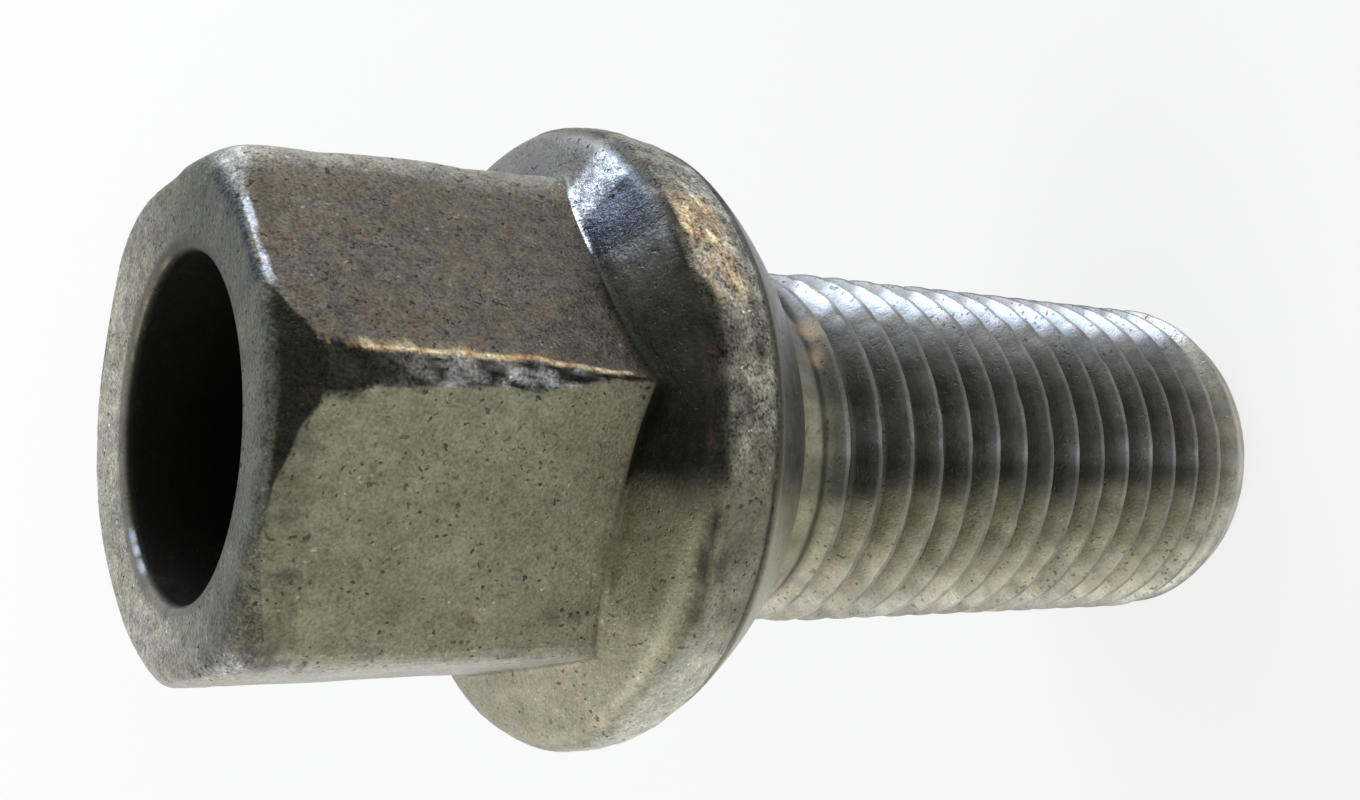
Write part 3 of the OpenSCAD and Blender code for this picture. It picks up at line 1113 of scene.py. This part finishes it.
# Camera, as a fit of one perspective to the photographed bolt, in millimetres:
# the middle of the head's end face and the axis towards the shank, with X to
# the right, Y down and Z away from the camera, and the turn of the corner on +X
FACE_FROM_CAMERA = (-16.213, 0.857, 50.493)
AXIS_FROM_CAMERA = (0.8224154, 0.0415907, 0.5673651)
CORNER_ANGLE = 11.32
FOCAL_SHARE = 1596.5 / 1360.0
SENSOR_WIDTH = 36.0


def make_camera():
    """Camera from the photo's perspective: lens, place and roll against the bolt's axis."""
    axis = Vector(AXIS_FROM_CAMERA).normalized()
    up = Vector((0.0, -1.0, 0.0))
    e1 = (up - axis * up.dot(axis)).normalized()
    e2 = axis.cross(e1)
    corner = math.radians(CORNER_ANGLE)
    x_dir = e2 * math.cos(corner) + e1 * math.sin(corner)
    z_dir = -axis
    y_dir = z_dir.cross(x_dir)
    shank_end = Vector(FACE_FROM_CAMERA) + axis * LENGTH
    to_world = Matrix((x_dir, y_dir, z_dir))
    right = to_world @ Vector((1.0, 0.0, 0.0))
    upward = to_world @ up
    behind = to_world @ Vector((0.0, 0.0, -1.0))
    turn = Matrix((right, upward, behind)).transposed().to_4x4()
    data = bpy.data.cameras.new("camera")
    data.sensor_fit = "HORIZONTAL"
    data.sensor_width = SENSOR_WIDTH
    data.lens = SENSOR_WIDTH * FOCAL_SHARE
    data.clip_start = 0.002
    data.clip_end = 10.0
    camera = add_object("camera", data)
    camera.matrix_world = Matrix.Translation(to_world @ (-shank_end) * MM) @ turn
    bpy.context.scene.camera = camera


# Studio, in metres
LAMP_TARGET = (0.0, 0.0, 0.03)
COOL_SKY = (0.97, 0.98, 1.0, 1.0)
FLOOR_RADIUS = 1.2
# Seen directly, the floor is this share of plain white near the bolt, where the
# rest shows the shadow, and all white further away
FLOOR_GLOW = 0.76
GLOW_START = 0.02
GLOW_END = 0.4


def area_lamp(name, azimuth, elevation, distance, size, power, colour):
    """Soft lamp seen from the bolt at an azimuth and elevation in degrees."""
    a = math.radians(azimuth)
    e = math.radians(elevation)
    way = Vector((math.cos(a) * math.cos(e), math.sin(a) * math.cos(e), math.sin(e)))
    data = bpy.data.lights.new(name, "AREA")
    data.shape = "RECTANGLE"
    data.size, data.size_y = size
    data.energy = power
    data.color = colour
    lamp = add_object(name, data)
    lamp.location = Vector(LAMP_TARGET) + way * distance
    lamp.rotation_euler = (-way).to_track_quat("-Z", "Y").to_euler()


def direct_view(tree):
    """One for rays from the camera, off mirrors and through glass."""
    path = add_node(tree, "ShaderNodeLightPath")
    seen = calc(tree, "MAXIMUM", path.outputs["Is Camera Ray"], path.outputs["Is Glossy Ray"])
    return calc(tree, "MAXIMUM", seen, path.outputs["Is Transmission Ray"])


def make_floor():
    """Plain pale disc that keeps the bolt's shadow."""
    mesh = bpy.data.meshes.new("floor")
    shape = bmesh.new()
    bmesh.ops.create_circle(shape, cap_ends=True, segments=96, radius=FLOOR_RADIUS)
    shape.to_mesh(mesh)
    shape.free()
    floor = add_object("floor", mesh)
    mat = bpy.data.materials.new("floor_white")
    mat.use_nodes = True
    tree = mat.node_tree
    shader = tree.nodes["Principled BSDF"]
    shader.inputs["Base Color"].default_value = (0.9, 0.9, 0.9, 1.0)
    shader.inputs["Roughness"].default_value = 0.9
    shader.inputs["Specular IOR Level"].default_value = 0.0
    glow = add_node(tree, "ShaderNodeEmission", {"Color": WHITE, "Strength": 1.0}).outputs[0]
    spot = add_node(tree, "ShaderNodeTexCoord").outputs["Object"]
    away = add_node(tree, "ShaderNodeVectorMath", {0: spot}, operation="LENGTH").outputs["Value"]
    share = ramp(tree, away, GLOW_START, GLOW_END, FLOOR_GLOW, 1.0)
    share = times(tree, direct_view(tree), share)
    both = add_node(tree, "ShaderNodeMixShader", {0: share, 1: shader.outputs[0], 2: glow})
    tree.links.new(both.outputs[0], tree.nodes["Material Output"].inputs["Surface"])
    mesh.materials.append(mat)


def make_world():
    """Pale surroundings, white at the horizon and dimmer overhead and towards +X."""
    world = bpy.data.worlds.new("studio")
    bpy.context.scene.world = world
    world.use_nodes = True
    tree = world.node_tree
    way = add_node(tree, "ShaderNodeTexCoord").outputs["Generated"]
    parts = add_node(tree, "ShaderNodeSeparateXYZ", {0: way}).outputs
    over = ramp(tree, parts["Z"], 0.15, 0.9, 1.0, 0.5)
    front = ramp(tree, parts["X"], -0.1, 0.9, 0.0, 0.5)
    front = times(tree, front, ramp(tree, parts["Z"], 0.18, 0.45))
    level = times(tree, over, calc(tree, "SUBTRACT", 1.0, front))
    shades = []
    for colour in (COOL_SKY, WHITE):
        values = {"Color": colour, "Strength": level}
        shades.append(add_node(tree, "ShaderNodeBackground", values).outputs[0])
    lit, seen = shades
    both = add_node(tree, "ShaderNodeMixShader", {0: direct_view(tree), 1: lit, 2: seen})
    tree.links.new(both.outputs[0], tree.nodes["World Output"].inputs["Surface"])


# Scene
bolt = make_bolt()
bolt.data.materials.append(steel_material())
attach(bolt, "root")
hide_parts("wheel_bolt")
make_camera()
make_floor()
make_world()
area_lamp(
    "side_window", azimuth=102.0, elevation=20.0, distance=0.35,
    size=(0.27, 0.24), power=0.60, colour=(0.84, 0.92, 1.0),
)
area_lamp(
    "side_fill", azimuth=-95.0, elevation=30.0, distance=0.40,
    size=(0.40, 0.30), power=0.45, colour=(1.0, 0.99, 0.97),
)

bpy.context.scene.view_settings.view_transform = "Standard"
